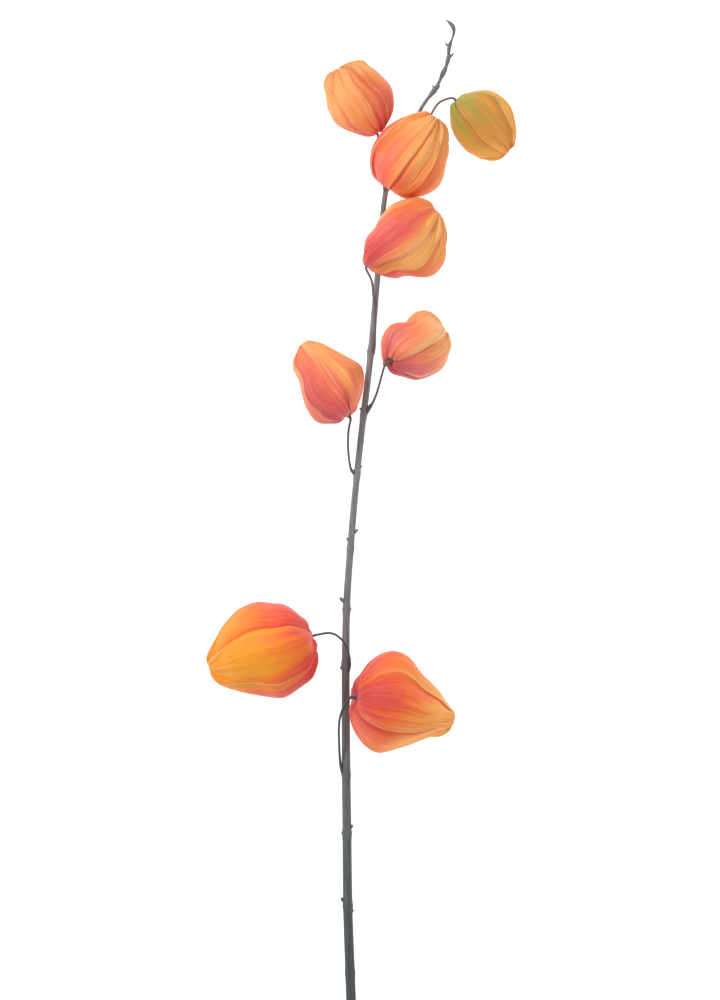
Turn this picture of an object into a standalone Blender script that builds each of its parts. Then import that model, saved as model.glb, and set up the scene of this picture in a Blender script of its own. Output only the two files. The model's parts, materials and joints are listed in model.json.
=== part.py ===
"""A cut spray of physalis (Chinese lantern) lying on a table.

The woody stem lies along +Y from its cut end to its tip. Eight papery husks rest beside it
or across it, and a thin stalk joins each husk to the stem. All lengths below are in
millimetres and the model is built in metres. The spray is laid out flat, seen from above,
with its cut end near the origin, and is centred at the end.
"""

import math

import bmesh
import bpy
from mathutils import Matrix, Vector

MM = 0.001
GAP = 0.3  # between pieces that touch

# Stem: x, y and height of its centre line, and its radius, from the cut end to the tip
STEM_ROUTE = [
    (1.0, -14.0, 3.05, 2.75),
    (0.0, 14.0, 3.05, 2.70),
    (-1.4, 50.0, 3.05, 2.60),
    (-1.7, 91.0, 3.0, 2.50),
    (-2.2, 124.0, 3.0, 2.40),
    (-2.5, 183.0, 2.9, 2.20),
    (-2.1, 217.0, 2.8, 2.00),
    (0.2, 249.0, 2.7, 1.90),
    (3.7, 289.0, 2.6, 1.80),
    (7.6, 323.0, 2.6, 1.80),
    (11.7, 357.0, 2.6, 1.80),
    (14.6, 393.0, 2.2, 1.70),
    (17.2, 420.0, 1.9, 1.60),
    (19.0, 445.0, 1.8, 1.45),
    (25.0, 467.0, 1.6, 1.20),
    (35.5, 484.0, 2.0, 1.05),
    (41.0, 495.0, 2.6, 1.00),
    (47.0, 501.5, 3.2, 0.95),
    (51.8, 511.5, 4.4, 0.90),
    (54.6, 518.5, 5.4, 0.80),
    (54.4, 525.0, 6.4, 0.70),
    (55.9, 528.5, 7.0, 0.62),
]
STEM_SIDES = 4  # bevel resolution
STEM_STEP = 11.0  # between the rings of a plain stretch

# Swollen nodes of the stem: y, and how much the radius grows there
STEM_NODES = [
    (14.0, 0.30),
    (50.0, 0.35),
    (91.0, 0.35),
    (124.0, 0.30),
    (183.0, 0.40),
    (215.0, 0.40),
    (248.0, 0.35),
    (290.0, 0.35),
    (323.0, 0.40),
    (358.0, 0.55),
    (501.5, 0.45),
    (511.5, 0.40),
    (518.5, 0.30),
    (525.2, 0.30),
]
NODE_HALF = 3.2  # half the length of a swelling

# Twig stubs: y, side (-1 left, 1 right), reach from the centre line, root and end radius
STEM_STUBS = [
    (46.0, 1, 3.7, 1.2, 0.8),
    (52.0, -1, 4.2, 1.3, 0.9),
    (89.0, -1, 3.6, 1.1, 0.7),
    (92.5, 1, 4.0, 1.2, 0.7),
    (180.5, -1, 3.5, 1.1, 0.7),
    (185.0, 1, 3.4, 1.1, 0.7),
    (213.0, 1, 3.3, 1.0, 0.7),
    (218.0, -1, 4.4, 1.1, 0.8),
    (252.0, -1, 3.0, 1.0, 0.6),
    (256.0, 1, 4.3, 1.0, 0.6),
    (292.0, 1, 3.0, 0.9, 0.6),
    (324.0, -1, 2.9, 0.9, 0.6),
    (502.5, -1, 2.1, 0.6, 0.35),
    (502.0, 1, 2.3, 0.6, 0.35),
    (519.5, 1, 2.7, 0.6, 0.3),
    (525.5, -1, 2.2, 0.5, 0.3),
]
STUB_ANGLE = math.radians(40)  # of a stub towards the stem's tip
STUB_SIDES = 8

# Bud at the stem's tip: x, y, height and radius
BUD_ROUTE = [
    (56.3, 529.3, 7.2, 0.60),
    (57.3, 532.5, 7.9, 0.75),
    (57.0, 535.6, 8.5, 1.25),
    (55.2, 538.0, 8.9, 1.00),
    (52.9, 539.4, 9.2, 0.35),
]

# Husks: base point seen from above, heading of the tip anticlockwise from +X, tilt of the tip
# upwards, length, width, turn about its own axis, and its height above the table
HUSKS = {
    "husk_1": dict(x=13.8, y=478.0, heading=123, tilt=20, length=40, width=36, turn=10, lift=0),
    "husk_2": dict(x=23.0, y=448.0, heading=56, tilt=12, length=48, width=41, turn=30, lift=2.6),
    "husk_3": dict(x=12.1, y=405.0, heading=38, tilt=12, length=47, width=44, turn=5, lift=3.6),
    "husk_4": dict(x=23.1, y=351.5, heading=32, tilt=-28, length=41, width=38, turn=50, lift=0),
    "husk_5": dict(x=-2.2, y=323.4, heading=124, tilt=0, length=45, width=42, turn=20, lift=0),
    "husk_6": dict(x=-23.4, y=200.0, heading=197, tilt=0, length=57, width=54, turn=0, lift=0),
    "husk_7": dict(x=5.0, y=167.2, heading=-11, tilt=-18, length=54, width=56, turn=40, lift=0),
    "husk_8": dict(x=60.0, y=492.0, heading=-43, tilt=0, length=39, width=36, turn=15, lift=0),
}
HUSK_RIBS = 5
HUSK_COLUMNS = 20
HUSK_RINGS = 14
RIB_HEIGHT = 0.05  # part of the radius that a rib stands out
DIMPLE = 0.035  # part of the length by which the shoulders reach back past the base
DIMPLE_END = 0.28  # where along the husk's side the dimple ends
BASE_FLATNESS = 1.2  # higher is flatter
WIDEST_SHIFT = 0.88  # lower moves the widest place towards the base
TIP_SHARPNESS = 0.35  # higher is more pointed

# Stalks: y where it leaves the stem, the side it leaves by, start radius, and the points
# between the stem and the husk
STALKS = {
    "stalk_1": dict(
        y=449.0, side=(-0.6, 0.0, 0.8), start=0.8, via=[(18.4, 455, 3.1), (17.6, 463, 2.9), (16.0, 470, 5.5)]
    ),
    "stalk_2": dict(
        y=427.0,
        side=(0.3, 0.0, 0.95),
        start=0.8,
        via=[(18.4, 432.0, 5.2), (19.0, 437.0, 7.4), (19.8, 441.5, 12.5)],
    ),
    "stalk_3": dict(
        y=360.0,
        side=(0.6, 0.0, 0.8),
        start=0.9,
        via=[(13.7, 366, 5.8), (14.0, 374, 5.7), (13.5, 382, 5.6), (12.7, 390, 6.4), (12.2, 396, 10.0)],
    ),
    "stalk_4": dict(
        y=325.0,
        side=(0.9, 0.0, 0.44),
        start=1.4,
        via=[(12.6, 328.5, 5.2), (15.4, 335.5, 10.5), (17.4, 343.5, 18.5)],
    ),
    "stalk_5": dict(
        y=290.0,
        side=(-0.9, 0.0, 0.44),
        start=0.9,
        via=[(0.2, 291.8, 4.6), (-0.9, 299.5, 8.0), (-1.2, 308.0, 13.0), (-0.6, 315.0, 18.0)],
    ),
    "stalk_6": dict(
        y=181.5,
        side=(0.8, 0.0, 0.6),
        start=0.9,
        via=[(-0.2, 187.0, 6.0), (-1.2, 193.0, 8.0), (-4.4, 198.5, 12.0), (-10.0, 202.8, 19.5)],
    ),
    "stalk_7": dict(
        y=124.5,
        side=(-0.9, 0.0, 0.44),
        start=0.9,
        via=[(-5.9, 131.0, 5.2), (-6.1, 142.0, 10.0), (-6.2, 152.0, 18.0), (-4.6, 160.5, 28.0)],
    ),
    "stalk_8": dict(
        y=479.5,
        side=(0.3, 0.0, 0.95),
        start=0.7,
        via=[(37.0, 482.0, 5.0), (43.5, 485.0, 9.0), (47.9, 491.3, 14.0), (52.3, 494.6, 17.5)],
    ),
}
STALK_RADIUS = 0.65
STALK_APPROACH = 5.0  # straight stretch before the husk
STALK_STEPS = 4  # rings to each stretch between two points
STALK_SIDES = 2  # bevel resolution
CAP_RADIUS = 1.5  # of the flared end under the husk
CAP_LENGTH = 1.8
CAP_GAP = 0.9  # from the middle of the dimple, which is a shallow cone, to the flat cap

# Colours (linear), roughness
BARK = (0.09, 0.085, 0.08), 0.75
STALK_SKIN = (0.07, 0.065, 0.06), 0.7
HUSK_PAPER = (0.85, 0.22, 0.05), 0.55
UNRIPE_PAPER = (0.55, 0.42, 0.06), 0.55


def clear_scene():
    for thing in list(bpy.data.objects):
        bpy.data.objects.remove(thing)


def new_collection(name):
    collection = bpy.data.collections.new(name)
    bpy.context.scene.collection.children.link(collection)
    return collection


def move_to(thing, collection):
    for old in list(thing.users_collection):
        old.objects.unlink(thing)
    collection.objects.link(thing)


def new_material(name, finish):
    colour, roughness = finish
    material = bpy.data.materials.new(name)
    material.use_nodes = True
    shader = material.node_tree.nodes["Principled BSDF"]
    shader.inputs["Base Color"].default_value = (*colour, 1.0)
    shader.inputs["Roughness"].default_value = roughness
    shader.inputs["Metallic"].default_value = 0.0
    return material


def catmull(points, span, part):
    """Point on the smooth curve through points, part of the way along one span."""
    last = len(points) - 1
    a = points[max(span - 1, 0)]
    b = points[span]
    c = points[min(span + 1, last)]
    d = points[min(span + 2, last)]
    return [
        q + part / 2 * (r - p + part * (2 * p - 5 * q + 4 * r - s + part * (3 * q - p - 3 * r + s)))
        for p, q, r, s in zip(a, b, c, d)
    ]


def smooth_route(points, steps):
    route = [catmull(points, span, step / steps) for span in range(len(points) - 1) for step in range(steps)]
    return route + [list(points[-1])]


def stem_at(y):
    """Centre and plain radius of the stem at a distance along it."""
    span = 0
    while span < len(STEM_ROUTE) - 2 and STEM_ROUTE[span + 1][1] < y:
        span += 1
    low, high = STEM_ROUTE[span][1], STEM_ROUTE[span + 1][1]
    x, _, z, radius = catmull(STEM_ROUTE, span, (y - low) / (high - low))
    return Vector((x, y, z)), radius


def swelling(y):
    return sum(
        growth * math.cos((y - node) / NODE_HALF * math.pi / 2) ** 2
        for node, growth in STEM_NODES
        if abs(y - node) < NODE_HALF
    )


def tube(name, route, bevel_resolution, material, collection):
    """A round tube through (x, y, z, radius) points, with closed ends."""
    curve = bpy.data.curves.new(name, "CURVE")
    curve.dimensions = "3D"
    curve.bevel_depth = MM
    curve.bevel_resolution = bevel_resolution
    curve.use_fill_caps = True
    spline = curve.splines.new("POLY")
    spline.points.add(len(route) - 1)
    for point, (x, y, z, radius) in zip(spline.points, route):
        point.co = (x * MM, y * MM, z * MM, 1.0)
        point.radius = radius
    spline.use_smooth = True
    curve.materials.append(material)
    thing = bpy.data.objects.new(name, curve)
    collection.objects.link(thing)
    return thing


def as_mesh(thing, collection):
    """The curve object as a closed mesh object of the same name."""
    bpy.context.view_layer.update()
    mesh = bpy.data.meshes.new_from_object(thing.evaluated_get(bpy.context.evaluated_depsgraph_get()))
    shape = bmesh.new()
    shape.from_mesh(mesh)
    bmesh.ops.remove_doubles(shape, verts=shape.verts, dist=0.00001)
    bmesh.ops.recalc_face_normals(shape, faces=shape.faces)
    shape.to_mesh(mesh)
    shape.free()
    name = thing.name
    place = thing.matrix_world.copy()
    bpy.data.objects.remove(thing)
    solid = bpy.data.objects.new(name, mesh)
    solid.matrix_world = place
    collection.objects.link(solid)
    return solid


def stem_stations():
    """Distances along the stem: evenly spaced, and close together over each node."""
    first, last = STEM_ROUTE[0][1], STEM_ROUTE[-1][1]
    count = math.ceil((last - first) / STEM_STEP)
    plain = [first + (last - first) * i / count for i in range(count + 1)]
    stations = [y for y in plain if all(abs(y - node) > NODE_HALF + 1 for node, _ in STEM_NODES)]
    stations += [node + NODE_HALF * part for node, _ in STEM_NODES for part in (-1, -0.5, 0, 0.5, 1)]
    return sorted(stations)


def make_stem(parts, cutters, material):
    route = []
    for y in stem_stations():
        centre, radius = stem_at(y)
        route.append((*centre, radius + swelling(y)))
    stem = as_mesh(tube("main_stem", route, STEM_SIDES, material, parts), parts)
    for number, (y, side, reach, root, end) in enumerate(STEM_STUBS, 1):
        centre, _ = stem_at(y)
        along = Vector((side * math.cos(STUB_ANGLE), math.sin(STUB_ANGLE), 0.0))
        bpy.ops.mesh.primitive_cone_add(
            vertices=STUB_SIDES,
            radius1=root * MM,
            radius2=end * MM,
            depth=reach * MM,
            location=(centre + along * reach / 2) * MM,
            rotation=along.to_track_quat("Z", "Y").to_euler(),
        )
        stub = bpy.context.object
        stub.name = f"stub_{number}"
        stub.hide_render = True
        stub.display_type = "WIRE"
        move_to(stub, cutters)
    join = stem.modifiers.new("stubs", "BOOLEAN")
    join.operation = "UNION"
    join.operand_type = "COLLECTION"
    join.collection = cutters
    return stem


def husk_profile(side):
    """Axial and radial place, as parts of length and half width; side runs 0 at the base to 1 at the tip."""
    axial = ((1 - math.cos(math.pi * side)) / 2) ** BASE_FLATNESS
    radial = math.sin(math.pi * side**WIDEST_SHIFT) * (1 - TIP_SHARPNESS * axial**4)
    if side < DIMPLE_END:
        axial -= DIMPLE * math.sin(math.pi * side / DIMPLE_END)
    return axial, radial


def husk_frame(husk):
    """Rotation whose Z axis runs along the husk, from its base to its tip."""
    heading, tilt = math.radians(husk["heading"]), math.radians(husk["tilt"])
    axis = Vector((math.cos(heading) * math.cos(tilt), math.sin(heading) * math.cos(tilt), math.sin(tilt)))
    across = Vector((-math.sin(heading), math.cos(heading), 0.0))
    turned = Matrix((across, axis.cross(across), axis)).transposed()
    return turned @ Matrix.Rotation(math.radians(husk["turn"]), 3, "Z"), axis


def make_husk(name, husk, parts, material):
    """A five-ribbed lantern lying on the table; returns its base point and its axis."""
    bpy.ops.mesh.primitive_uv_sphere_add(segments=HUSK_COLUMNS, ring_count=HUSK_RINGS, radius=1.0)
    thing = bpy.context.object
    thing.name = name
    for vertex in thing.data.vertices:
        side = math.acos(max(-1.0, min(1.0, -vertex.co.z))) / math.pi
        around = math.atan2(vertex.co.y, vertex.co.x)
        axial, radial = husk_profile(side)
        rib = max(0.0, math.cos(HUSK_RIBS * around)) * math.sin(math.pi * side)
        reach = radial * (1 - RIB_HEIGHT + RIB_HEIGHT * rib) * husk["width"] / 2 * MM
        vertex.co = (reach * math.cos(around), reach * math.sin(around), axial * husk["length"] * MM)
    rotation, axis = husk_frame(husk)
    thing.rotation_euler = rotation.to_euler()
    lowest = min((rotation @ vertex.co).z for vertex in thing.data.vertices)
    thing.location = (husk["x"] * MM, husk["y"] * MM, husk["lift"] * MM - lowest)
    thing.data.shade_smooth()
    thing.data.materials.append(material)
    move_to(thing, parts)
    return thing.location / MM, axis


def make_stalk(name, stalk, base, axis, parts, material):
    """A thin stalk from the stem's side to a flared cap against the husk's base."""
    centre, radius = stem_at(stalk["y"])
    side = Vector(stalk["side"]).normalized()
    start = centre + side * (radius + swelling(stalk["y"]) + GAP + stalk["start"])
    end = base - axis * CAP_GAP
    neck = end - axis * CAP_LENGTH
    points = [(*start, stalk["start"])]
    points += [(*point, STALK_RADIUS) for point in stalk["via"]]
    points += [(*(end - axis * STALK_APPROACH), STALK_RADIUS), (*neck, STALK_RADIUS)]
    route = smooth_route(points, STALK_STEPS) + [(*end, CAP_RADIUS)]
    return tube(name, route, STALK_SIDES, material, parts)


def make_bud(parts, material):
    return tube("tip_bud", smooth_route(BUD_ROUTE, STALK_STEPS), STALK_SIDES, material, parts)


def centre_on_table(parts, cutters):
    """Moves the whole spray so that the middle of its footprint is the origin."""
    bpy.context.view_layer.update()
    depsgraph = bpy.context.evaluated_depsgraph_get()
    points = []
    for thing in parts.objects:
        mesh = thing.evaluated_get(depsgraph).to_mesh()
        points += [thing.matrix_world @ vertex.co for vertex in mesh.vertices]
    lows = [min(point[i] for point in points) for i in range(3)]
    highs = [max(point[i] for point in points) for i in range(3)]
    holder = bpy.data.objects.new("spray", None)
    bpy.context.scene.collection.objects.link(holder)
    for thing in [*parts.objects, *cutters.objects]:
        thing.parent = holder
    holder.location = (-(lows[0] + highs[0]) / 2, -(lows[1] + highs[1]) / 2, -lows[2])


def main():
    clear_scene()
    parts = new_collection("physalis_spray")
    cutters = new_collection("cutters")
    make_stem(parts, cutters, new_material("bark", BARK))
    make_bud(parts, new_material("bud_scale", BARK))
    for name, husk in HUSKS.items():
        finish = UNRIPE_PAPER if name == "husk_8" else HUSK_PAPER
        base, axis = make_husk(name, husk, parts, new_material(f"{name}_paper", finish))
        stalk = name.replace("husk", "stalk")
        make_stalk(stalk, STALKS[stalk], base, axis, parts, new_material(f"{stalk}_skin", STALK_SKIN))
    centre_on_table(parts, cutters)


main()
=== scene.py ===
import json
import math
import random

import bmesh
import bpy
import numpy as np
from mathutils import Matrix, Vector, noise

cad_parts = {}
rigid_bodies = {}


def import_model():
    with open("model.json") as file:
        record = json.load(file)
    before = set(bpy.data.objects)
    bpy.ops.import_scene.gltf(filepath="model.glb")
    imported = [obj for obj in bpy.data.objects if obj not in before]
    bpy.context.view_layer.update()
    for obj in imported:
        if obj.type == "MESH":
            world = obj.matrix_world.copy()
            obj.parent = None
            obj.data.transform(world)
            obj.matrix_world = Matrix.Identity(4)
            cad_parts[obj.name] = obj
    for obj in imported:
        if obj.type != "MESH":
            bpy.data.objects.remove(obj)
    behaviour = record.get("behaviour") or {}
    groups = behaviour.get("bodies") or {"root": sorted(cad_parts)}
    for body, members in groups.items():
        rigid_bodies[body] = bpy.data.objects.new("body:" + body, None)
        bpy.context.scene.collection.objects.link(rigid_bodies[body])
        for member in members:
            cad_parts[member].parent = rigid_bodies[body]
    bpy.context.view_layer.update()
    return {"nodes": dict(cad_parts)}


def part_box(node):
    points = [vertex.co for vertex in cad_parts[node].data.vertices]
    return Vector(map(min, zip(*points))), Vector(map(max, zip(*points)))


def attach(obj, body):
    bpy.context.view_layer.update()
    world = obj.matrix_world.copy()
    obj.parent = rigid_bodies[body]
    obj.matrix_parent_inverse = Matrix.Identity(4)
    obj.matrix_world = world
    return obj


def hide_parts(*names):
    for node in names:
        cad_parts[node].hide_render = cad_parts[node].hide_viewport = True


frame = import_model()
print("frame loaded")

mm = 0.001
detail = 3  # subdivision of the husks


def activate(thing):
    for other in bpy.context.view_layer.objects:
        other.select_set(False)
    thing.select_set(True)
    bpy.context.view_layer.objects.active = thing


def applyModifiers(thing):
    activate(thing)
    for modifier in list(thing.modifiers):
        bpy.ops.object.modifier_apply(modifier=modifier.name)


def pick(thing, wanted):  # selects these vertices of the object in edit mode
    shape = bmesh.from_edit_mesh(thing.data)
    shape.verts.ensure_lookup_table()
    for vertex in shape.verts:
        vertex.select = vertex.index in wanted
    shape.select_flush_mode()
    bmesh.update_edit_mesh(thing.data)


def turnAboutZ(angle):  # anticlockwise; without a window the operator turns the other way
    bpy.ops.transform.rotate(value=-angle, orient_axis="Z", center_override=(0, 0, 0))


def smooth(low, high, value):
    part = np.clip((value - low) / (high - low), 0, 1)
    return part * part * (3 - 2 * part)


def linear(hexColour):
    parts = [int(hexColour[i:i + 2], 16) / 255 for i in (1, 3, 5)]
    return *(part / 12.92 if part <= 0.04045 else ((part + 0.055) / 1.055) ** 2.4 for part in parts), 1.0


def newMaterial(name):
    material = bpy.data.materials.new(name)
    material.use_nodes = True
    tree = material.node_tree
    return material, tree, tree.nodes["Principled BSDF"]


def addNode(tree, kind, settings=None, values=None, links=None):  # links: input to output socket
    node = tree.nodes.new(kind)
    for key, value in (settings or {}).items():
        setattr(node, key, value)
    for key, value in (values or {}).items():
        node.inputs[key].default_value = value
    for key, socket in (links or {}).items():
        tree.links.new(socket, node.inputs[key])
    return node


def setRamp(node, stops):  # stops: (place, colour)
    ramp = node.color_ramp
    while len(ramp.elements) > 1:
        ramp.elements.remove(ramp.elements[-1])
    ramp.elements[0].position, ramp.elements[0].color = stops[0]
    for place, colour in stops[1:]:
        ramp.elements.new(place).color = colour


# The layout below is measured from the stem's cut end and laid on the CAD's own cut end
stemEnd = Vector((1.0, -14.0, 0.0)) * mm  # middle of the cut end in the layout
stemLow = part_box("main_stem")[0]
cutEdge = [v.co.x for v in frame["nodes"]["main_stem"].data.vertices if v.co.y < stemLow.y + mm]
layoutShift = Vector(((min(cutEdge) + max(cutEdge)) / 2, stemLow.y, 0.0)) - stemEnd


def place(x, y, z):  # a layout point, in millimetres, in the frame
    return Vector((x, y, z)) * mm + layoutShift


# One husk lies along its heading, tip forwards. Left and right are the places of its outline:
# height above the base and reach from the axis, mm. Seams are angles about the axis: 0 is its left
# side, 90 its top and 180 its right side. For each panel between one seam and the next, blush
# is how far the coral reaches from the base towards the tip. Bulge is how far a panel swells, and
# tip is how withered the tip is. Colours run from the base's to the tip's, then the light colour
# of the painted highlight on the folded edges.
# The husks higher up the stem are given paler colours, partly a painted haze of light.
husks = {
    "husk_1": dict(
        base=(12.9, 479.5), heading=123, tilt=20, length=40, width=33, seams=(38, 100, 132, 200, 270, 330),
        blush=(0.32, 0.6, 0.45, 0.5, 0.5, 0.3), bulge=0.04, tip=0.3, seed=11,
        left=((1, 7), (6, 12), (11, 15.5), (18, 15.5), (28, 13), (35, 8), (39, 3)),
        right=((1, 8), (4, 15), (9, 19), (15, 20.5), (23, 18.5), (32, 15), (37, 9), (39, 3)),
        colours=("#CE5357", "#E86A5A", "#F79256", "#FBB26C", "#FFDEB8"),
    ),
    "husk_2": dict(
        base=(23.0, 448.0), heading=56, tilt=12, length=45, width=38, seams=(20, 96, 135, 205, 275, 335),
        blush=(0.5, 0.3, 0.4, 0.6, 0.5, 0.6), bulge=0.04, tip=0.4, seed=12,
        left=((0, 12), (4, 16.5), (12, 20), (23, 19.5), (34, 14), (40, 8), (45, 2)),
        right=((0, 11), (4, 17.5), (12, 21.5), (21, 21), (32, 15.5), (41, 9), (45, 4)),
        colours=("#E25A50", "#F57458", "#FC9050", "#FFB466", "#FFE2B4"),
    ),
    "husk_3": dict(
        base=(12.1, 405.0), heading=38, tilt=12, length=47, width=40, seams=(28, 110, 134, 200, 270, 335),
        blush=(0.75, 0.1, 0.5, 0.6, 0.5, 0.35), bulge=0.05, tip=0.2, seed=13,
        left=((0, 5), (2, 8), (6, 13), (12, 13), (17, 16), (27, 18), (39, 13.5), (45, 7), (47, 3)),
        right=((1, 8), (3, 14), (10, 17), (16, 24), (22, 28), (31, 24), (39, 16), (44, 8), (47, 1)),
        colours=("#D8504F", "#EE6C5E", "#FA8A54", "#FFB668", "#FFE0AC"),
    ),
    "husk_4": dict(
        base=(23.1, 351.5), heading=32, tilt=-20, length=37, width=33, seams=(38, 105, 178, 250, 322),
        blush=(0.3, 0.46, 0.5, 0.6, 0.38), bulge=0.06, tip=0.1, seed=14,
        left=(
            (0, 7), (2, 12.5), (7, 16.5), (12, 16), (15.5, 12.5), (19, 14.5),
            (25, 15.5), (31, 13), (35, 7),
        ),
        right=((0, 8), (4, 11), (7, 16), (17, 18), (23, 16.5), (31, 11), (35, 5)),
        colours=("#C04E5C", "#EA7A72", "#FB986C", "#FFBE7C", "#FFDCB0"),
    ),
    "husk_5": dict(
        base=(-2.2, 323.4), heading=124, tilt=0, length=46, width=38, seams=(35, 104, 150, 215, 290),
        blush=(0.72, 0.25, 0.3, 0.5, 0.45), bulge=0.05, tip=0.2, seed=15,
        left=((0, 10), (4, 17.5), (12, 18), (20, 16), (28, 12.5), (36, 12), (40, 8), (42, 3), (46, 1)),
        right=((0, 6), (4, 13.5), (10, 19), (16, 22), (22, 19), (30, 15), (39, 10), (46, 3)),
        colours=("#CC5257", "#E66C64", "#FA8C60", "#FFB46C", "#FFDCB0"),
    ),
    "husk_6": dict(
        base=(-23.4, 200.0), heading=197, tilt=0, length=58, width=50, seams=(46, 118, 190, 262, 334),
        blush=(0.22, 0.6, 0.6, 0.5, 0.75), bulge=0.05, tip=0.0, seed=16,
        left=((0, 15), (3, 22), (12, 26), (22, 29), (35, 23), (47, 16.5), (54, 10), (58, 4)),
        right=((0, 10), (2.5, 16), (6, 21.5), (14, 23.5), (21, 27), (31, 26), (42, 19), (52, 9), (58, 1)),
        colours=("#DE4440", "#F05E44", "#FB8628", "#F9A526", "#FFDA98"),
    ),
    "husk_7": dict(
        base=(5.0, 167.2), heading=-11, tilt=-10, length=56, width=50, seams=(48, 120, 192, 264, 336),
        blush=(0.44, 0.3, 0.4, 0.6, 0.3), bulge=0.05, tip=0.0, seed=17,
        left=((0, 13), (4, 23), (11, 30.5), (18, 31), (24, 27), (29, 21), (40, 14), (46, 7), (53, 2)),
        right=(
            (0, 14), (2, 19), (9, 25), (15, 27.5), (20, 25), (30, 20),
            (39, 13.5), (47, 13), (51, 10), (55, 3),
        ),
        colours=("#C03E44", "#E04E46", "#F87A38", "#FFB24E", "#FFE2A8"),
    ),
    "husk_8": dict(
        base=(60.0, 492.0), heading=-43, tilt=0, length=39, width=33, seams=(45, 118, 190, 262, 334),
        blush=(0.5, 0.44, 0.36, 0.4, 0.45), bulge=0.05, tip=0.8, seed=18,
        left=((1, 8), (3.5, 13), (9, 18), (16, 19.5), (24, 17), (32, 10.5), (37, 4)),
        right=((1, 8), (6, 13), (12.5, 15.5), (20, 17), (28, 14.5), (33, 12), (38, 6)),
        colours=("#869A38", "#ACAA46", "#DCA64A", "#FCBA54", "#FFE0A0"),
    ),
}

huskShape = {
    # where the columns of a panel stand between its seams; close together at the folded edge
    "columns": (0.0, 0.02, 0.055, 0.14, 0.25, 0.37, 0.5, 0.63, 0.75, 0.86, 0.945),
    # height and radius of each ring from the base to the tip, parts of length and half width
    "rings": (
        (-0.005, 0.13), (-0.015, 0.30), (-0.02, 0.47), (-0.005, 0.63), (0.03, 0.77), (0.08, 0.875),
        (0.145, 0.945), (0.22, 0.985), (0.30, 1.0), (0.38, 0.99), (0.46, 0.955), (0.54, 0.90), (0.615, 0.825),
        (0.69, 0.735), (0.76, 0.63), (0.825, 0.51), (0.885, 0.38), (0.94, 0.235), (0.98, 0.10),
    ),
    "lap": 0.035,  # how far a panel's edge stands over the next one, part of the radius
    "crest": 0.012,  # height of the folded edge itself
    "shoulder": 0.8,  # how far the middle of a panel reaches back at the base, mm
    "pinch": 0.85,  # width left in the middle of a panel at the tip
    "wander": 6,  # how far the seams wander to the side, degrees
    "swell": 1.8,  # depth of the broad lengthwise folds, mm
    "pleat": 0.8,  # depth of the pleats, mm
    "silk": 0.24,  # depth of the fine lines between them, mm
    "crumple": 1.5,  # depth of the soft dents, mm
    "skin": 1.3,  # room left outside the shape for the folds, mm
    "dents": 22,
}


def columnOrder(thing, count):  # column and ring number of every vertex of a fresh sphere
    layer = thing.data.uv_layers.active.data
    columns = np.full(len(thing.data.vertices), -1)
    for loop in thing.data.loops:
        columns[loop.vertex_index] = round(layer[loop.index].uv[0] * count) % count
    heights = sorted({round(v.co.z, 6) for v in thing.data.vertices})
    rings = np.array([heights.index(round(v.co.z, 6)) for v in thing.data.vertices])
    return columns, rings


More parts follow.
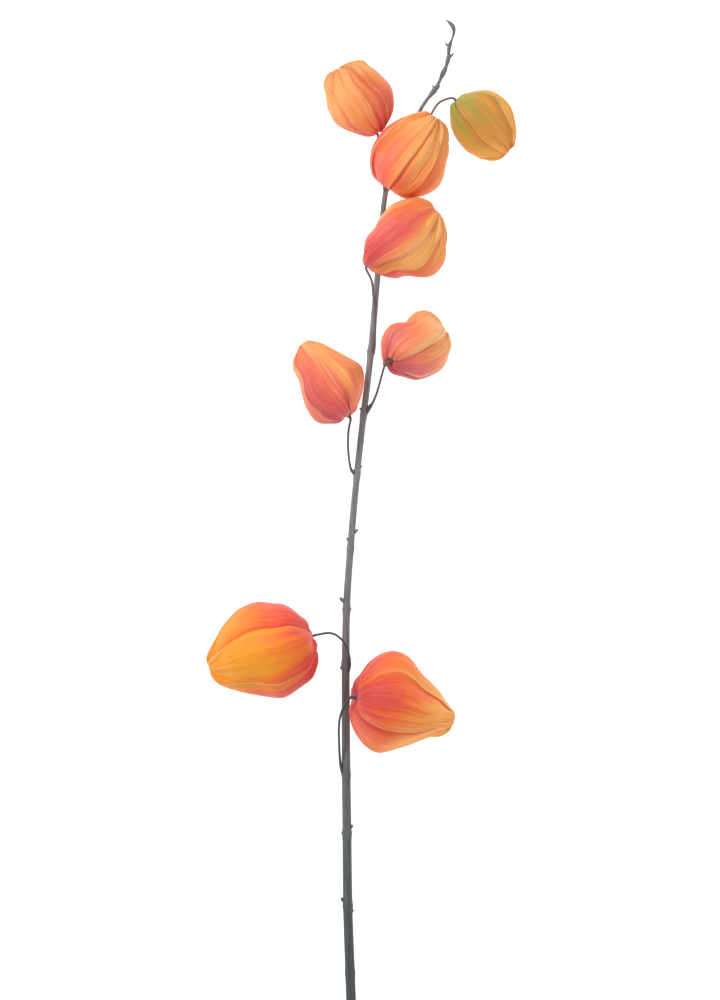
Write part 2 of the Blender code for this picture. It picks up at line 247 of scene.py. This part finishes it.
def shapeHusk(name, husk):
    steps = huskShape["columns"]
    rings = huskShape["rings"]
    panels = len(husk["seams"])
    count = panels * len(steps)
    length, half = husk["length"] * mm, husk["width"] / 2 * mm
    bpy.ops.mesh.primitive_uv_sphere_add(segments=count, ring_count=len(rings) + 1, radius=half)
    thing = bpy.context.object
    thing.name = name + "_paper"
    columnOf, ringOf = columnOrder(thing, count)
    angleOf = {}
    for vertex in thing.data.vertices:
        if 0 < ringOf[vertex.index] <= len(rings):
            angleOf[columnOf[vertex.index]] = math.atan2(vertex.co.y, vertex.co.x)
    poles = {0, len(rings) + 1}
    onColumn = [
        {i for i in range(len(columnOf)) if columnOf[i] == c and ringOf[i] not in poles} for c in range(count)
    ]
    onRing = [{i for i in range(len(ringOf)) if ringOf[i] == r} for r in range(len(rings) + 2)]
    activate(thing)
    bpy.ops.object.mode_set(mode="EDIT")
    for number, (height, radius) in enumerate(rings, 1):  # the outline, from the base up
        angle = math.pi * number / (len(rings) + 1)
        pick(thing, onRing[number])
        factor = radius / math.sin(angle)
        bpy.ops.transform.resize(value=(factor, factor, 1), center_override=(0, 0, 0))
        bpy.ops.transform.translate(value=(0, 0, height * length + half * math.cos(angle)))
    pick(thing, onRing[0])
    bpy.ops.transform.translate(value=(0, 0, half))
    pick(thing, onRing[-1])
    bpy.ops.transform.translate(value=(0, 0, length - half))
    for column in range(count):  # the panels and the folded edge between them
        panel, step = divmod(column, len(steps))
        seam, nextSeam = husk["seams"][panel], husk["seams"][(panel + 1) % panels]
        width = (nextSeam - seam) % 360
        target = math.radians(seam + width * steps[step])
        part = steps[step]
        factor = 1 + husk["bulge"] * width / 72 * math.sin(math.pi * part) ** 0.7
        factor += huskShape["lap"] * smooth(0.05, 0.95, part)
        if step == 0:
            factor += huskShape["lap"] + huskShape["crest"]
        pick(thing, onColumn[column])
        turnAboutZ((target - angleOf[column] + math.pi) % (2 * math.pi) - math.pi)
        bpy.ops.transform.resize(value=(factor, factor, 1), center_override=(0, 0, 0))
    for low, high, reach in ((0.2, 0.8, 0.55), (0.3, 0.7, 0.45)):  # shoulders behind the base
        middle = {c for c in range(count) if low < steps[c % len(steps)] < high}
        back = {i for c in middle for i in onColumn[c] if 2 <= ringOf[i] <= 6}
        pick(thing, back)
        bpy.ops.transform.translate(value=(0, 0, -huskShape["shoulder"] * reach * mm))
    middle = {c for c in range(count) if 0.1 < steps[c % len(steps)] < 0.9}
    for first in (len(rings) - 3, len(rings) - 1):  # the tip is pinched between the seams
        pick(thing, {i for c in middle for i in onColumn[c] if ringOf[i] >= first})
        bpy.ops.transform.resize(value=(huskShape["pinch"], huskShape["pinch"], 1), center_override=(0, 0, 0))
    bpy.ops.object.mode_set(mode="OBJECT")
    sizes = thing.dimensions
    bpy.ops.transform.resize(value=(2 * half / sizes.x, 2 * half / sizes.y, length / sizes.z))
    bpy.ops.object.transform_apply(location=False, rotation=False, scale=True)
    bpy.ops.object.mode_set(mode="EDIT")
    factors = {}
    flattening = math.cos(math.radians(husk["tilt"]))  # the outline is as seen from above
    for number in (*range(5, len(rings) + 1), 4, 3, 2, 1):  # the outline on either side
        wave = noise.noise(Vector((number * 0.19, husk["seed"] * 2.3, 0)))
        pick(thing, onRing[number])
        turnAboutZ(math.radians(huskShape["wander"] * wave))
        for side, edge in ((1, husk["left"]), (-1, husk["right"])):
            verts = bmesh.from_edit_mesh(thing.data).verts
            verts.ensure_lookup_table()
            if number > 4:
                reach = max(side * verts[i].co.x for i in onRing[number])
                height = sum(verts[i].co.z for i in onRing[number]) / count * flattening
                wanted = max(0.6, np.interp(height / mm, *zip(*edge)) - huskShape["skin"])
                factors[side] = wanted * mm / reach
                if number == 5:
                    lowest = dict(factors)
                factors[side] = min(factors[side], 2.5)
            pick(thing, {i for i in onRing[number] if side * verts[i].co.x > 0})
            factor = factors[side] if number > 4 else lowest[side]
            bpy.ops.transform.resize(value=(float(factor), 1, 1), center_override=(0, 0, 0))
    chance = random.Random(husk["seed"])
    for _ in range(huskShape["dents"]):
        column, ring = chance.randrange(count), chance.randrange(4, len(rings) - 4)
        spot = next(i for i in onColumn[column] if ringOf[i] == ring)
        shape = bmesh.from_edit_mesh(thing.data)
        shape.verts.ensure_lookup_table()
        away = Vector((shape.verts[spot].co.x, shape.verts[spot].co.y, 0)).normalized()
        pick(thing, {spot})
        bpy.ops.transform.translate(
            value=away * chance.uniform(-1, 0.8) * huskShape["crumple"] * mm,
            use_proportional_edit=True,
            proportional_edit_falloff="SMOOTH",
            proportional_size=husk["width"] * chance.uniform(0.13, 0.3) * mm,
        )
    bpy.ops.object.mode_set(mode="OBJECT")
    return thing


def surfacePlaces(thing, husk):  # every vertex: panel, place between its seams, place along the husk
    mesh = thing.data
    steps = (*huskShape["columns"], 1.0)
    panels = len(husk["seams"])
    layer = np.zeros(len(mesh.loops) * 2)
    mesh.uv_layers.active.data.foreach_get("uv", layer)
    corners = np.zeros(len(mesh.loops), int)
    mesh.loops.foreach_get("vertex_index", corners)
    around, along = np.zeros(len(mesh.vertices)), np.zeros(len(mesh.vertices))
    around[corners], along[corners] = layer[0::2], layer[1::2]
    turned = np.clip(around, 0, 0.999999) * panels
    panel = np.floor(turned).astype(int) % panels
    between = np.interp((turned % 1) * len(huskShape["columns"]), range(len(steps)), steps)
    return panel, between, along


def floatAttribute(thing, name, values):
    attribute = thing.data.attributes.new(name, "FLOAT", "POINT")
    attribute.data.foreach_set("value", np.asarray(values, float))


def displaceBy(thing, name, weights, strength):  # moves the surface along its normals, by weight
    group = thing.vertex_groups.new(name=name)
    for index, weight in enumerate(weights):
        group.add([index], float(weight), "REPLACE")
    push = thing.modifiers.new(name, "DISPLACE")
    push.vertex_group = name
    push.mid_level = 0
    push.strength = strength
    applyModifiers(thing)
    thing.vertex_groups.remove(thing.vertex_groups[name])


# Noise drawn out along the husk: cells across a panel, cells along the husk, its share of the seed
huskStreaks = {
    "broad": (2.2, 0.9, 0.1),
    "middling": (6.5, 1.2, 0),
    "fine": (15, 1.6, 0.5),
    "silk": (36, 3.0, 0.9),
    "smoothPlaces": (1.6, 1.7, 0.3),
    "brokenSeams": (3, 5, 0.7),
    "edgeLines": (1, 4, 0.4),
    "cloud": (2.2, 2.2, 0.2),
}
edgeLines = (0.865, 0.905, 0.94, 0.97)  # thin lines beside the next fold, as parts of a panel


def streak(places, kind, seed):  # about -1 to 1
    cells, run, share = huskStreaks[kind]
    seed += share
    return np.array([
        noise.noise(Vector((k * 17.3 + p * cells, v * run, seed * 3.7))) for k, p, v in zip(*places)
    ]) * 1.6


def noiseAlong(along, seed):  # one slow wave along the husk, about -1 to 1
    return np.array([noise.noise(Vector((v * 4, seed * 1.9, 5.1))) for v in along]) * 1.6


def finishHusk(thing, husk):
    thing.modifiers.new("smooth", "SUBSURF").levels = detail
    thing.modifiers["smooth"].render_levels = detail
    applyModifiers(thing)
    places = surfacePlaces(thing, husk)
    panel, between, along = places
    seed = husk["seed"]
    edge = np.minimum(between, 1 - between)
    ends = smooth(0.02, 0.14, along) * smooth(0.0, 0.08, 1 - along)  # pleats fade at both ends
    broad = streak(places, "broad", seed)
    middling = streak(places, "middling", seed)
    fine = streak(places, "fine", seed)
    silk = streak(places, "silk", seed)
    where = smooth(-0.5, 0.6, streak(places, "smoothPlaces", seed))  # 0 where no fold shows
    folds = np.clip(1 - np.abs(middling) * 2.2, 0, 1) * where
    lines = np.clip(1 - np.abs(fine) * 1.8, 0, 1) * (0.3 + 0.7 * where)
    broken = smooth(-0.5, 0.5, streak(places, "brokenSeams", seed))
    bent = between + 0.012 * noiseAlong(along, seed)
    beside = sum(np.exp(-(((bent - middle) / 0.007) ** 2)) for middle in edgeLines)
    beside = np.clip(beside, 0, 1) * smooth(-0.4, 0.4, streak(places, "edgeLines", seed))
    displaceBy(thing, "swell", np.clip(0.5 - 0.6 * broad, 0, 1) * ends, huskShape["swell"] * mm)
    raised = np.clip(0.6 * folds + 0.3 * lines + 0.3 * beside, 0, 1)
    displaceBy(thing, "pleats", raised * ends, huskShape["pleat"] * mm)
    displaceBy(thing, "silk", np.clip(0.5 + 0.5 * silk, 0, 1) * ends, huskShape["silk"] * mm)
    own = np.array(husk["blush"])
    reach = own[panel]
    for neighbour, near in ((np.roll(own, 1), between), (np.roll(own, -1), 1 - between)):
        reach = reach + 0.4 * (neighbour[panel] - own[panel]) * (1 - smooth(0, 0.35, near))
    cloud = streak(places, "cloud", seed)
    # painted shade beneath the lapping edge of the next panel, with some deeper pigment there: the colour is
    # deepened where that edge laps over
    lapShadeAndPigment = 1 - smooth(0.02, 0.3, between)  # deeper colour where the next panel's edge laps over
    margin = smooth(0.72, 1.0, between)  # paler towards the panel's own edge
    fading = along - reach + 0.16 * cloud + 0.08 * middling + 0.05 * fine - 0.1 * lapShadeAndPigment + 0.1 * margin
    floatAttribute(thing, "blush", np.clip(0.52 - fading / 0.85, 0, 1))
    # painted highlight: the seams and the thin lines beside the next fold are marked here to be painted light
    seam = np.exp(-((edge / 0.009) ** 2)) * broken + 0.5 * beside
    floatAttribute(thing, "seam", np.clip(seam, 0, 1) * ends)
    # painted shade, with some deeper pigment: the hollows between the pleats, the broad dips and the lapped
    # edges are marked here to be darkened
    hollowShadeAndPigment = 0.45 * (1 - folds) * where + 0.25 * (1 - lines) + 0.5 * lapShadeAndPigment + 0.4 * smooth(0, 0.8, broad)
    floatAttribute(thing, "groove_shade_and_pigment", np.clip(hollowShadeAndPigment, 0, 1) * ends)
    floatAttribute(thing, "tip", smooth(0.88, 0.99, along + 0.02 * middling) * husk["tip"])
    thing.data.shade_smooth()


def layHusk(thing, name, husk):  # lies on its heading from its base, as low as its CAD node
    heading, tilt = math.radians(husk["heading"]), math.radians(husk["tilt"])
    axis = Vector((math.cos(heading) * math.cos(tilt), math.sin(heading) * math.cos(tilt), math.sin(tilt)))
    left = Vector((-math.sin(heading), math.cos(heading), 0))
    turned = Matrix((left, axis.cross(left), axis)).transposed()
    shift = place(*husk["base"], 0)
    shift.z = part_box(name)[0].z - min((turned @ vertex.co).z for vertex in thing.data.vertices)
    thing.data.transform(Matrix.Translation(shift) @ turned.to_4x4())
    thing.data.update()
    return shift, axis


def calyxPaper(name, colours):
    # Physalis calyx, grown thin and dried like paper: satin, with fine lengthwise veins, a painted
    # highlight along the folded edges, painted shade with some deeper pigment in its folds and where
    # the panels lap, and a little light passing through
    material, tree, shader = newMaterial("calyx_paper_" + name)
    crimson, coral, orange, gold, edgeHighlight = [linear(colour) for colour in colours]
    uv = addNode(tree, "ShaderNodeUVMap")
    blush = addNode(tree, "ShaderNodeAttribute", {"attribute_name": "blush"})
    seam = addNode(tree, "ShaderNodeAttribute", {"attribute_name": "seam"})
    groove_shade_and_pigment = addNode(tree, "ShaderNodeAttribute", {"attribute_name": "groove_shade_and_pigment"})
    tip = addNode(tree, "ShaderNodeAttribute", {"attribute_name": "tip"})
    stretched = addNode(tree, "ShaderNodeMapping", None, {"Scale": (150, 5, 1)}, {"Vector": uv.outputs[0]})
    veins = addNode(
        tree, "ShaderNodeTexNoise", None, {"Scale": 1.0, "Detail": 3.0, "Roughness": 0.6},
        {"Vector": stretched.outputs[0]},
    )
    shifted = addNode(
        tree, "ShaderNodeMath", {"operation": "MULTIPLY_ADD"}, {1: 0.56, 2: -0.28}, {0: veins.outputs[0]}
    )
    ripe = addNode(
        tree, "ShaderNodeMath", {"operation": "ADD", "use_clamp": True}, None,
        {0: blush.outputs["Fac"], 1: shifted.outputs[0]},
    )
    ramp = addNode(tree, "ShaderNodeValToRGB", None, None, {0: ripe.outputs[0]})
    setRamp(ramp, [(0.1, gold), (0.42, orange), (0.72, coral), (1.0, crimson)])
    # painted shade: the marked hollows and lapped edges are multiplied darker
    depth = addNode(
        tree, "ShaderNodeMath", {"operation": "MULTIPLY"}, {1: 0.45}, {0: groove_shade_and_pigment.outputs["Fac"]}
    )
    grooveShaded = addNode(
        tree, "ShaderNodeMix", {"data_type": "RGBA", "blend_type": "MULTIPLY"}, {"B": linear("#EFA68C")},
        {"Factor": depth.outputs[0], "A": ramp.outputs[0]},
    )
    # painted highlight: the light edge colour is mixed in along the marked seams and lines
    edgeHighlightAmount = addNode(
        tree, "ShaderNodeMath", {"operation": "MULTIPLY"}, {1: 0.42}, {0: seam.outputs["Fac"]}
    )
    edged = addNode(
        tree, "ShaderNodeMix", {"data_type": "RGBA"}, {"B": edgeHighlight},
        {"Factor": edgeHighlightAmount.outputs[0], "A": grooveShaded.outputs["Result"]},
    )
    withered = addNode(
        tree, "ShaderNodeMix", {"data_type": "RGBA"}, {"B": linear("#D8553F")},
        {"Factor": tip.outputs["Fac"], "A": edged.outputs["Result"]},
    )
    bump = addNode(
        tree, "ShaderNodeBump", None, {"Strength": 0.8, "Distance": 0.0005}, {"Height": veins.outputs[0]}
    )
    tree.links.new(withered.outputs["Result"], shader.inputs["Base Color"])
    tree.links.new(bump.outputs[0], shader.inputs["Normal"])
    shader.inputs["Roughness"].default_value = 0.5
    shader.inputs["IOR"].default_value = 1.4
    shader.inputs["Subsurface Weight"].default_value = 0.15
    shader.inputs["Subsurface Radius"].default_value = (1.0, 0.4, 0.15)
    shader.inputs["Subsurface Scale"].default_value = 0.002
    shader.inputs["Sheen Weight"].default_value = 0.06
    shader.inputs["Sheen Roughness"].default_value = 0.4
    return material


# One stalk, in mm: its root in the stem, its radius there, the radius of the cap under the husk,
# and the points on its way from one to the other
stalks = {
    "stalk_1": dict(
        root=(19.4, 446.0, 2.4), start=1.1, cap=1.5,
        via=[(18.9, 450, 3.2), (18.4, 456, 3.1), (17.6, 463, 2.9), (16.0, 470, 5.5)],
    ),
    "stalk_2": dict(
        root=(18.0, 424.5, 2.6), start=1.2, cap=1.5,
        via=[(18.2, 428.0, 4.0), (18.5, 432.0, 5.2), (19.0, 437.0, 7.4), (19.8, 441.5, 12.5)],
    ),
    "stalk_3": dict(
        root=(12.4, 356.5, 3.2), start=1.4, cap=1.5,
        via=[
            (13.2, 360, 4.6), (13.7, 366, 5.6), (14.0, 374, 5.4), (13.5, 382, 5.3),
            (12.7, 390, 6.2), (12.2, 396, 10.0),
        ],
    ),
    "stalk_4": dict(
        root=(8.4, 323.0, 2.8), start=1.5, cap=1.7,
        via=[
            (10.9, 326.4, 3.9), (12.4, 328.4, 5.0), (13.3, 330.2, 6.2), (15.4, 335.5, 10.5),
            (17.4, 343.5, 18.5),
        ],
    ),
    "stalk_5": dict(
        root=(3.4, 289.0, 2.8), start=1.3, cap=2.2,
        via=[
            (1.4, 290.6, 3.8), (0.2, 292.4, 5.0), (-0.9, 299.5, 8.0), (-1.2, 308.0, 13.0),
            (-0.6, 315.0, 18.0),
        ],
    ),
    "stalk_6": dict(
        root=(-1.8, 179.0, 3.4), start=1.2, cap=1.5,
        via=[
            (-0.2, 182.5, 4.8), (-0.2, 187.0, 5.8), (-1.2, 193.0, 8.0), (-4.4, 198.5, 12.0),
            (-10.0, 202.8, 19.5),
        ],
    ),
    "stalk_7": dict(
        root=(-3.2, 122.0, 3.2), start=1.2, cap=1.6,
        via=[
            (-4.8, 126.0, 4.0), (-5.7, 132.0, 5.2), (-6.1, 142.0, 10.0), (-6.2, 152.0, 18.0),
            (-4.6, 160.5, 28.0),
        ],
    ),
    "stalk_8": dict(
        root=(32.0, 478.5, 2.2), start=1.0, cap=1.5,
        via=[
            (34.0, 480.5, 4.0), (38.5, 482.6, 6.0), (43.8, 485.4, 9.0), (45.8, 489.4, 12.0),
            (48.4, 493.0, 14.5), (52.0, 494.8, 16.0),
        ],
    ),
}
stalkRadius = 0.65


def tubeAlong(name, route, rings, sides):  # route: (point in metres, radius in millimetres)
    bpy.ops.curve.primitive_nurbs_path_add(location=(0, 0, 0))
    thing = bpy.context.object
    thing.name = name
    curve = thing.data
    curve.splines.clear()
    spline = curve.splines.new("NURBS")
    spline.points.add(len(route) - 1)
    for point, (where, radius) in zip(spline.points, route):
        point.co = (*where, 1.0)
        point.radius = radius
    spline.order_u = 3
    spline.use_endpoint_u = True
    spline.resolution_u = rings
    curve.bevel_depth = mm
    curve.bevel_resolution = sides // 2 - 1
    curve.use_fill_caps = True
    activate(thing)
    bpy.ops.object.convert(target="MESH")
    bpy.ops.object.mode_set(mode="EDIT")
    bpy.ops.mesh.select_all(action="SELECT")
    bpy.ops.mesh.remove_doubles(threshold=0.00002)
    bpy.ops.mesh.normals_make_consistent(inside=False)
    bpy.ops.object.mode_set(mode="OBJECT")
    bpy.context.object.data.shade_smooth()
    return bpy.context.object


def makeStalk(name, stalk, base, axis):
    route = [(place(*stalk["root"]), stalk["start"])]
    for number, point in enumerate(stalk["via"]):
        route.append((place(*point), stalkRadius if number else 0.85 * stalk["start"]))
    cap = stalk["cap"]
    capProfile = ((5.0, stalkRadius), (3.4, 0.5 * cap), (1.6, 0.8 * cap), (0.5, 1.15 * cap), (-0.4, cap))
    for back, radius in capProfile:  # how far behind the husk's base, and how wide
        route.append((base - axis * back * mm, radius))
    return tubeAlong(name + "_skin", route, 5, 12)


stemRoute = [
    (1.0, -14.0, 3.05, 2.75), (0.0, 14.0, 3.05, 2.70), (-1.4, 50.0, 3.05, 2.60), (-1.7, 91.0, 3.0, 2.50),
    (-2.2, 124.0, 3.0, 2.40), (-2.5, 183.0, 2.9, 2.20), (-2.1, 217.0, 2.8, 2.00), (0.2, 249.0, 2.7, 1.90),
    (3.7, 289.0, 2.6, 1.80), (7.6, 323.0, 2.6, 1.80), (11.7, 357.0, 2.6, 1.80), (14.6, 393.0, 2.2, 1.70),
    (17.2, 420.0, 1.9, 1.60), (19.0, 445.0, 1.8, 1.45), (25.0, 467.0, 1.6, 1.20), (35.5, 484.0, 2.0, 1.05),
    (41.0, 495.0, 2.6, 1.00), (47.0, 501.5, 3.2, 0.95), (51.8, 511.5, 4.4, 0.90), (54.6, 518.5, 5.4, 0.80),
    (54.4, 525.0, 6.4, 0.70), (55.9, 528.5, 7.0, 0.62),
]
budRoute = [
    (55.9, 528.3, 6.9, 0.60), (56.6, 530.3, 7.3, 0.62), (57.4, 532.8, 7.9, 0.80), (57.1, 535.6, 8.5, 1.35),
    (55.2, 538.0, 8.9, 1.05), (52.9, 539.5, 9.2, 0.25),
]
# swollen nodes: distance along the stem and how much its radius grows there
stemNodes = [
    (14.0, 0.3), (50.0, 0.4), (91.0, 0.4), (124.0, 0.3), (183.0, 0.45), (215.0, 0.45), (248.0, 0.35),
    (290.0, 0.35), (323.0, 0.45), (358.0, 0.6), (501.5, 0.6), (511.5, 0.6), (518.5, 0.5), (525.2, 0.5),
]
# twig stubs: distance along the stem, side, reach from the middle, root and end radius
stemStubs = [
    (46.0, 1, 3.7, 1.2, 0.8), (52.0, -1, 4.2, 1.3, 0.9), (89.0, -1, 3.6, 1.1, 0.7),
    (92.5, 1, 4.0, 1.2, 0.7), (180.5, -1, 3.5, 1.1, 0.7), (185.0, 1, 3.4, 1.1, 0.7),
    (213.0, 1, 3.3, 1.0, 0.7), (218.0, -1, 4.4, 1.1, 0.8), (252.0, -1, 3.0, 1.0, 0.6),
    (256.0, 1, 4.3, 1.0, 0.6), (292.0, 1, 3.0, 0.9, 0.6), (324.0, -1, 2.9, 0.9, 0.6),
    (502.5, -1, 2.6, 0.8, 0.4), (502.0, 1, 3.0, 0.8, 0.4), (519.5, 1, 3.3, 0.8, 0.4),
    (525.5, -1, 2.8, 0.7, 0.4),
]


def swellAt(thing, y, growth):  # fattens the stem round one of its rings
    points = thing.data.vertices
    nearest = min(range(len(points)), key=lambda i: abs(points[i].co.y - y))
    level = points[nearest].co.y
    bpy.ops.object.mode_set(mode="EDIT")
    pick(thing, {v.index for v in points if abs(v.co.y - level) < 0.8 * mm})
    bpy.ops.transform.shrink_fatten(
        value=growth * mm, use_proportional_edit=True, proportional_edit_falloff="SMOOTH",
        proportional_size=3.6 * mm,
    )
    bpy.ops.object.mode_set(mode="OBJECT")


def makeStem():
    thing = tubeAlong("stem_bark", [(place(x, y, z), r) for x, y, z, r in stemRoute], 16, 20)
    for y, growth in stemNodes:
        swellAt(thing, place(0, y, 0).y, growth)
    levels = [y for _, y, _, _ in stemRoute]
    twigs = []
    for y, side, reach, root, end in stemStubs:
        middle = Vector([np.interp(y, levels, [point[i] for point in stemRoute]) for i in (0, 1, 2)])
        route = []
        for part, radius in ((0, root), (0.45, root), (0.8, end * 1.25), (1.0, end), (1.06, end * 0.5)):
            step = Vector((side * 0.77, 0.64 * part ** 0.5, 0.1)) * reach * part
            route.append((place(*(middle + step)), radius))
        twigs.append(tubeAlong("twig_stub", route, 3, 10))
    activate(thing)
    for twig in twigs:
        twig.select_set(True)
    bpy.ops.object.join()
    return bpy.context.object


def markRise(thing):  # 0 at the cut end of the stem to 1 at its tip
    low, high = place(0, -14, 0).y, place(0, 540, 0).y
    rise = [min(1, max(0, (v.co.y - low) / (high - low))) for v in thing.data.vertices]
    floatAttribute(thing, "rise", rise)


def bark():
    # Thin woody bark, dry: matte grey with a fine lengthwise grain, painted paler towards the top as a
    # painted haze of light
    material, tree, shader = newMaterial("dry_bark")
    where = addNode(tree, "ShaderNodeTexCoord")
    rise = addNode(tree, "ShaderNodeAttribute", {"attribute_name": "rise"})
    grainSpace = addNode(
        tree, "ShaderNodeMapping", None, {"Scale": (1500, 80, 1500)}, {"Vector": where.outputs["Object"]}
    )
    grain = addNode(
        tree, "ShaderNodeTexNoise", None, {"Scale": 1.0, "Detail": 4.0, "Roughness": 0.6},
        {"Vector": grainSpace.outputs[0]},
    )
    darkerBark = addNode(tree, "ShaderNodeValToRGB", None, None, {0: grain.outputs[0]})
    setRamp(darkerBark, [(0.3, linear("#2E3435")), (0.7, linear("#565B5C"))])
    lighterBark = addNode(tree, "ShaderNodeValToRGB", None, None, {0: grain.outputs[0]})
    setRamp(lighterBark, [(0.3, linear("#6C7074")), (0.7, linear("#9C9FA3"))])
    # painted haze: the bark is mixed towards the lighter grey up the stem, easing off again near the tip
    paintedHaze = addNode(tree, "ShaderNodeValToRGB", None, None, {0: rise.outputs["Fac"]})
    setRamp(paintedHaze, [
        (0.05, linear("#000000")), (0.35, linear("#BBBBBB")), (0.6, linear("#F2F2F2")),
        (0.95, linear("#CCCCCC")),
    ])
    colour = addNode(
        tree, "ShaderNodeMix", {"data_type": "RGBA"}, None,
        {"Factor": paintedHaze.outputs[0], "A": darkerBark.outputs[0], "B": lighterBark.outputs[0]},
    )
    bump = addNode(
        tree, "ShaderNodeBump", None, {"Strength": 0.5, "Distance": 0.0004}, {"Height": grain.outputs[0]}
    )
    tree.links.new(colour.outputs["Result"], shader.inputs["Base Color"])
    tree.links.new(bump.outputs[0], shader.inputs["Normal"])
    shader.inputs["Roughness"].default_value = 0.7
    return material


def stalkSkin():
    # Dried stalk: dark grey, matte, with fine lengthwise wrinkles, painted lighter towards the top as a
    # painted haze of light
    material, tree, shader = newMaterial("dried_stalk")
    where = addNode(tree, "ShaderNodeTexCoord")
    rise = addNode(tree, "ShaderNodeAttribute", {"attribute_name": "rise"})
    wrinkle = addNode(
        tree, "ShaderNodeTexNoise", None, {"Scale": 900.0, "Detail": 2.0}, {"Vector": where.outputs["Object"]}
    )
    # painted haze: the grey gets lighter up the stem
    hazeTone = addNode(tree, "ShaderNodeValToRGB", None, None, {0: rise.outputs["Fac"]})
    setRamp(hazeTone, [(0.3, linear("#44484A")), (0.6, linear("#5E5E60")), (0.9, linear("#6A6866"))])
    bump = addNode(
        tree, "ShaderNodeBump", None, {"Strength": 0.3, "Distance": 0.0003}, {"Height": wrinkle.outputs[0]}
    )
    tree.links.new(hazeTone.outputs[0], shader.inputs["Base Color"])
    tree.links.new(bump.outputs[0], shader.inputs["Normal"])
    shader.inputs["Roughness"].default_value = 0.65
    return material


barkMaterial = bark()
stalkMaterial = stalkSkin()

stem = makeStem()
markRise(stem)
stem.data.materials.append(barkMaterial)
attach(stem, "root")
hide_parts("main_stem")
bud = tubeAlong("end_bud", [(place(x, y, z), r) for x, y, z, r in budRoute], 8, 12)
markRise(bud)
bud.data.materials.append(barkMaterial)
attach(bud, "root")
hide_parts("tip_bud")
print("stem and bud modelled")

for huskName, husk in husks.items():
    lantern = shapeHusk(huskName, husk)
    finishHusk(lantern, husk)
    base, axis = layHusk(lantern, huskName, husk)
    lantern.data.materials.append(calyxPaper(huskName, husk["colours"]))
    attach(lantern, "root")
    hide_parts(huskName)
    stalkName = huskName.replace("husk", "stalk")
    stalk = makeStalk(stalkName, stalks[stalkName], base, axis)
    markRise(stalk)
    stalk.data.materials.append(stalkMaterial)
    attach(stalk, "root")
    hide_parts(stalkName)
    print(huskName, "modelled:", len(lantern.data.polygons), "faces")

floorSize = 3.0
bpy.ops.mesh.primitive_plane_add(size=floorSize, location=(0, 0, -0.0002))
table = bpy.context.object
table.name = "table_top"
white, tree, shader = newMaterial("white_table")
shader.inputs["Base Color"].default_value = (0.45, 0.45, 0.45, 1)
shader.inputs["Roughness"].default_value = 0.9
shader.inputs["Emission Color"].default_value = (1, 1, 1, 1)
shader.inputs["Emission Strength"].default_value = 1.0
table.data.materials.append(white)

world = bpy.context.scene.world or bpy.data.worlds.new("sky")
bpy.context.scene.world = world
world.use_nodes = True
world.node_tree.nodes["Background"].inputs[0].default_value = (1, 1, 1, 1)
world.node_tree.nodes["Background"].inputs[1].default_value = 0.6


def areaLight(name, where, size, power):
    bpy.ops.object.light_add(type="AREA", location=where)
    light = bpy.context.object
    light.name = name
    light.data.size = size
    light.data.energy = power
    light.rotation_euler = (-Vector(where)).to_track_quat("-Z", "Y").to_euler()


areaLight("key", (-0.9, 0.9, 1.2), 0.8, 15)
areaLight("fill", (1.0, -0.4, 1.2), 1.0, 3)

viewHeight = 0.55  # length of table that the camera sees from bottom to top
lens = 100
bpy.ops.object.camera_add()
camera = bpy.context.object
camera.data.lens = lens
camera.data.sensor_width = 36
target = place(5.5, 275.0, 12.0)
camera.location = target + Vector((0, 0, viewHeight * lens / 36))
camera.rotation_euler = (0, 0, 0)
camera.data.clip_end = 10
bpy.context.scene.camera = camera
bpy.context.scene.view_settings.view_transform = "Standard"
bpy.context.scene.view_settings.look = "None"
